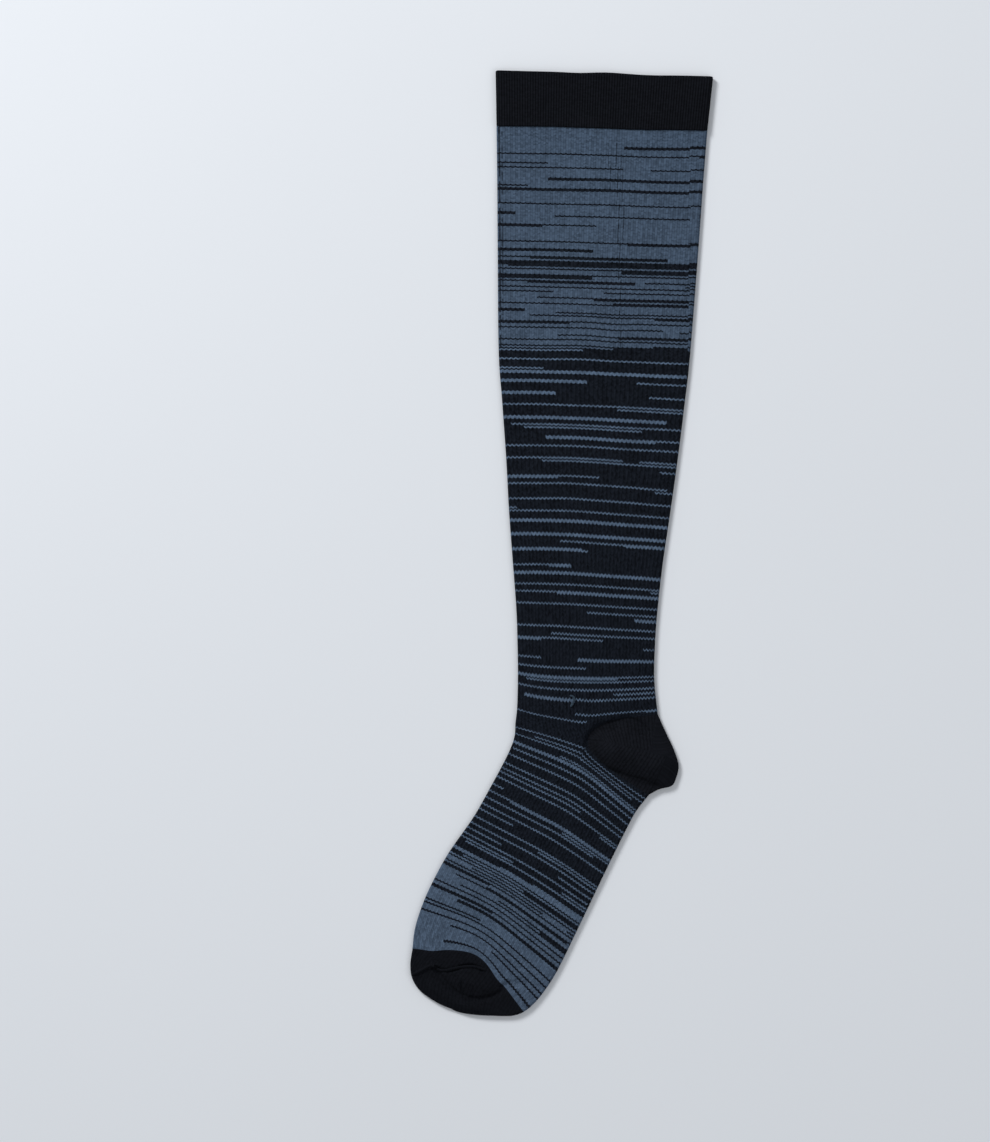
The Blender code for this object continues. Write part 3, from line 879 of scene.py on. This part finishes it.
def makeHeel(material):
    keys = [heelRow(*values) for values in heelRows.values()]
    names = list(heelRows)
    rows = []
    for first, last in zip(names, names[1:]):
        rows += between(keys, names, first, last, heel["rowPitch"])[:-1]
    rows.append(keys[-1])
    q = np.linspace(-1, 1, 2 * heel["columns"] + 1)
    points = place(np.array(rows), [0.0] * len(rows), q, False)
    x, y = points[:, :, 0], points[:, :, 1]
    upperGap, upperAlong = distanceTo(keys[0][:, :2], x, y)
    lowerGap, lowerAlong = distanceTo(keys[-1][:, :2], x, y)
    nearUpper = upperGap < lowerGap
    courses = np.where(nearUpper, upperGap, lowerGap) / knitting["coursePitch"]
    wales = np.where(nearUpper, upperAlong, lowerAlong) / heel["waleWidth"]
    knitShell("heelCloth", ("heel", "plain_knit", material), rows, q, tube["wall"], wales, courses)


toe = {"rowPitch": 0.7, "columns": 336, "waleWidth": 1.0}


def makeToe(firstCourse, material):
    q = aroundTube(toe["columns"])
    rows = between(footKeys, footNames, "toeStart", "tip", toe["rowPitch"])
    hollow = len(between(footKeys, footNames, "toeStart", "toe4", toe["rowPitch"])) - 1
    steps = np.array([np.hypot(*np.diff(r[:, :2], axis=0).T).sum() for r in rows])
    wales = steps[:, None] * (np.abs(q) - 0.5)[None, :] / toe["waleWidth"]
    courses = courseOf(rows, firstCourse)[:, None] + 0 * wales
    cloth = ("toe", "plain_knit", material)
    return knitShell("toeCloth", cloth, rows, q, tube["wall"], wales, courses, hollow=hollow)


def topAt(points, x, y, reach=1.2):  # the height of a grid's upper layer near a place
    near = np.hypot(points[:, :, 0] - x, points[:, :, 1] - y) < reach
    return points[:, :, 2][near].max()


def smoothLine(table, pitch, steps=12):  # even places along a smooth curve through plan points
    keys = np.array(table, float)
    chain = withEnds(keys)
    shares = np.linspace(0, 1, steps, endpoint=False)
    fine = [spline(*near, t) for near in zip(chain, chain[1:], chain[2:], chain[3:]) for t in shares]
    fine = np.array([*fine, keys[-1]])
    run = np.concatenate(((0,), np.cumsum(np.hypot(*np.diff(fine, axis=0).T))))
    places = np.linspace(0, run[-1], round(run[-1] / pitch) + 1)
    return np.column_stack([np.interp(places, run, fine[:, k]) for k in (0, 1)])


toeSeam = {
    # where the toe's two edges are linked, loop by loop, from the front fold across the toes
    "path": (
        (-84.6, -245.2), (-80.7, -243.2), (-76.7, -241.0), (-73.7, -240.0), (-71.0, -242.2),
        (-67.0, -243.0), (-58.8, -241.2), (-50.8, -240.6), (-43.7, -242.4),
    ),
    "pitch": 1.0,
    "loop": (0.62, 0.95, 0.42),  # along the seam, across it, up
    "slant": 24,
    "sink": 0.22,  # how deep a loop sits in the cloth
    "segments": 10,
    "rings": 6,
}


def putInOrder(body):  # spheres come with their points and faces in another order at each run
    places = ((body.verts, lambda v: v.co[:]), (body.faces, lambda f: f.calc_center_median()[:]))
    for parts, spot in places:
        order = {part: k for k, part in enumerate(sorted(parts, key=spot))}
        parts.sort(key=order.get)


def makeToeSeam(toePoints, material):
    path = smoothLine(toeSeam["path"], toeSeam["pitch"])
    body = bmesh.new()
    body.loops.layers.uv.new("knit")
    for spot, step in zip(path, np.gradient(path, axis=0)):
        turn = math.atan2(step[1], step[0]) + math.radians(toeSeam["slant"])
        height = topAt(toePoints, *spot) + toeSeam["loop"][2] - toeSeam["sink"]
        where = (
            Matrix.Translation(Vector((*spot, height)) * mm)
            @ Matrix.Rotation(turn, 4, "Z")
            @ Matrix.Diagonal((*(size * mm for size in toeSeam["loop"]), 1.0))
        )
        bmesh.ops.create_uvsphere(
            body, u_segments=toeSeam["segments"], v_segments=toeSeam["rings"], radius=1.0,
            matrix=where, calc_uvs=True,
        )
    putInOrder(body)
    addTrim("toeSeam", body, "toe", material)


yarnEnd = {
    # a loose end of yarn on the front of the ankle, hooked at its upper end
    "path": ((4.4, -86.7), (6.2, -86.9), (7.0, -88.6), (6.2, -90.9), (4.8, -93.0)),
    "pitch": 0.35,
    "radius": 0.65,
    "sides": 12,
    "plies": 0.16,  # how far its two plies stand out
    "twist": 1.9,  # turn of the plies to a millimetre, in radians
    "rise": 0.7,  # share of its radius that its middle is above the cloth
    "smoothing": 3,  # places to either side that its height is the mean of
}


def makeYarnEnd(legPoints, material):
    path = smoothLine(yarnEnd["path"], yarnEnd["pitch"])
    sides, count = yarnEnd["sides"], len(path)
    body = bmesh.new()
    body.loops.layers.uv.new("knit")
    bmesh.ops.create_grid(body, x_segments=sides, y_segments=count - 1, size=0.5, calc_uvs=True)
    body.verts.ensure_lookup_table()
    heights = np.pad([topAt(legPoints, *spot) for spot in path], yarnEnd["smoothing"], mode="edge")
    window = 2 * yarnEnd["smoothing"] + 1
    heights = np.convolve(heights, np.ones(window) / window, mode="valid")
    steps = np.gradient(path, axis=0)
    for k, (spot, step, top) in enumerate(zip(path, steps, heights)):
        side = Vector((step[1], -step[0], 0)).normalized()
        end = min(k, count - 1 - k) * yarnEnd["pitch"] / yarnEnd["radius"]
        for i in range(sides + 1):
            angle = 2 * math.pi * i / sides
            turned = yarnEnd["twist"] * k * yarnEnd["pitch"]
            plies = 1 + yarnEnd["plies"] * math.cos(2 * angle + turned)
            radius = yarnEnd["radius"] * plies * math.sqrt(min(1.0, end))
            middle = Vector((*spot, top + yarnEnd["rise"] * yarnEnd["radius"]))
            up = Vector((0, 0, radius * math.sin(angle)))
            skin = middle + side * (radius * math.cos(angle)) + up
            body.verts[k * (sides + 1) + i].co = skin * mm
    addTrim("yarnEnd", body, "leg", material)


def addTrim(name, body, node, material):
    openEdges = closeSeams(body, shell["trimMergeGap"])
    mesh = bpy.data.meshes.new(name)
    body.to_mesh(mesh)
    body.free()
    mesh.shade_smooth()
    mesh.materials.append(material)
    piece = addThing(name, mesh)
    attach(piece, "root")
    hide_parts(node)
    print(f"{name}: {len(mesh.polygons)} faces, {openEdges} open edges")


legPitch, footPitch, ribRows = (knitting[key] for key in ("legPitch", "footPitch", "ribRows"))
calfRows = between(legKeys[2:], legNames[2:], "legStart", "midShin", legPitch)
calfRows[0] = moved(calfRows[0], calfRows[1], knitting["weltTuck"])
shinRows = between(legKeys[2:], legNames[2:], "midShin", "legEnd", legPitch)
footRows = between(footKeys, footNames, "footStart", "toeStart", footPitch)
startCourse = -knitting["weltTuck"] / knitting["coursePitch"]
midCourse = courseOf(calfRows, startCourse)[-1]
heelCourse = courseOf(shinRows, midCourse)[-1]
toeCourse = courseOf(footRows, heelCourse)[-1]
print(f"knit: courses at mid shin {midCourse:.0f}, heel {heelCourse:.0f}, toe {toeCourse:.0f}")

striped = stripedKnit(heelCourse, toeCourse)
plain = {name: plainKnit(name, **values) for name, values in plainKnits.items()}
makeWelt(plain["weltKnit"])
makeStriped("calfCloth", "leg", calfRows, startCourse, (ribRows, 0), striped)
shinPoints = makeStriped("shinCloth", "leg", shinRows, midCourse, (0, ribRows), striped)
makeStriped("footCloth", "foot", footRows, heelCourse, (ribRows, ribRows), striped)
makeHeel(plain["heelKnit"])
toePoints = makeToe(toeCourse, plain["toeKnit"])
makeToeSeam(toePoints, plain["toeKnit"])
makeYarnEnd(shinPoints, looseYarn())

studio = {
    "middle": (-0.0380, -0.0157),  # the point that the picture is centred on
    "viewHeight": 0.651,  # metres seen from the picture's bottom to its top
    "distance": 2.2,
    "floorSize": 6.0,  # metres from its middle to its edge
    "floorGap": 0.0002,  # the floor lies this far under the stocking
    "floorColour": (0.76, 0.79, 0.83),
    "floorPatches": (3.0, 0.02),  # scale of the noise, how much it adds
    "floorRoughness": 0.8,
    "worldColour": (0.95, 0.97, 1.0),
    "worldStrength": 0.38,
}
lamps = {
    "keyLight": {"spot": (-1.3, 1.5, 1.5), "size": 0.8, "power": 46.0},
    "fillLight": {"spot": (1.4, -0.6, 1.9), "size": 1.6, "power": 9.0},
}


def makeFloor():
    body = bmesh.new()
    bmesh.ops.create_grid(body, x_segments=1, y_segments=1, size=studio["floorSize"])
    mesh = bpy.data.meshes.new("floor")
    body.to_mesh(mesh)
    body.free()
    mesh.transform(Matrix.Translation((0, 0, -studio["floorGap"])))
    shade = Shade("floorPaint", sheen=0.0, specular=0.1)
    shade.skin.inputs["Roughness"].default_value = studio["floorRoughness"]
    scale, reach = studio["floorPatches"]
    tint = shade.cloud(scale) * reach + (1 - reach / 2)
    shade.plug(shade.skin.inputs["Base Color"], shade.dim(studio["floorColour"], tint))
    mesh.materials.append(shade.material)
    addThing("floor", mesh)


def softLight(name, spot, size, power):
    lamp = bpy.data.lights.new(name, "AREA")
    lamp.shape = "DISK"
    lamp.size = size
    lamp.energy = power
    thing = addThing(name, lamp)
    thing.location = spot
    thing.rotation_euler = (-Vector(spot)).to_track_quat("-Z", "Y").to_euler()  # towards the origin


def makeCamera():
    data = bpy.data.cameras.new("camera")
    data.sensor_width = 36.0
    data.lens = data.sensor_width * studio["distance"] / studio["viewHeight"]
    camera = addThing("camera", data)
    camera.location = (*studio["middle"], studio["distance"])
    bpy.context.scene.camera = camera


makeFloor()
for name, values in lamps.items():
    softLight(name, **values)
world = bpy.data.worlds.new("studio")
world.use_nodes = True
sky = world.node_tree.nodes["Background"]
sky.inputs["Color"].default_value = (*studio["worldColour"], 1.0)
sky.inputs["Strength"].default_value = studio["worldStrength"]
bpy.context.scene.world = world
bpy.context.scene.view_settings.view_transform = "Standard"
makeCamera()
print("studio: floor, lights and camera are in")
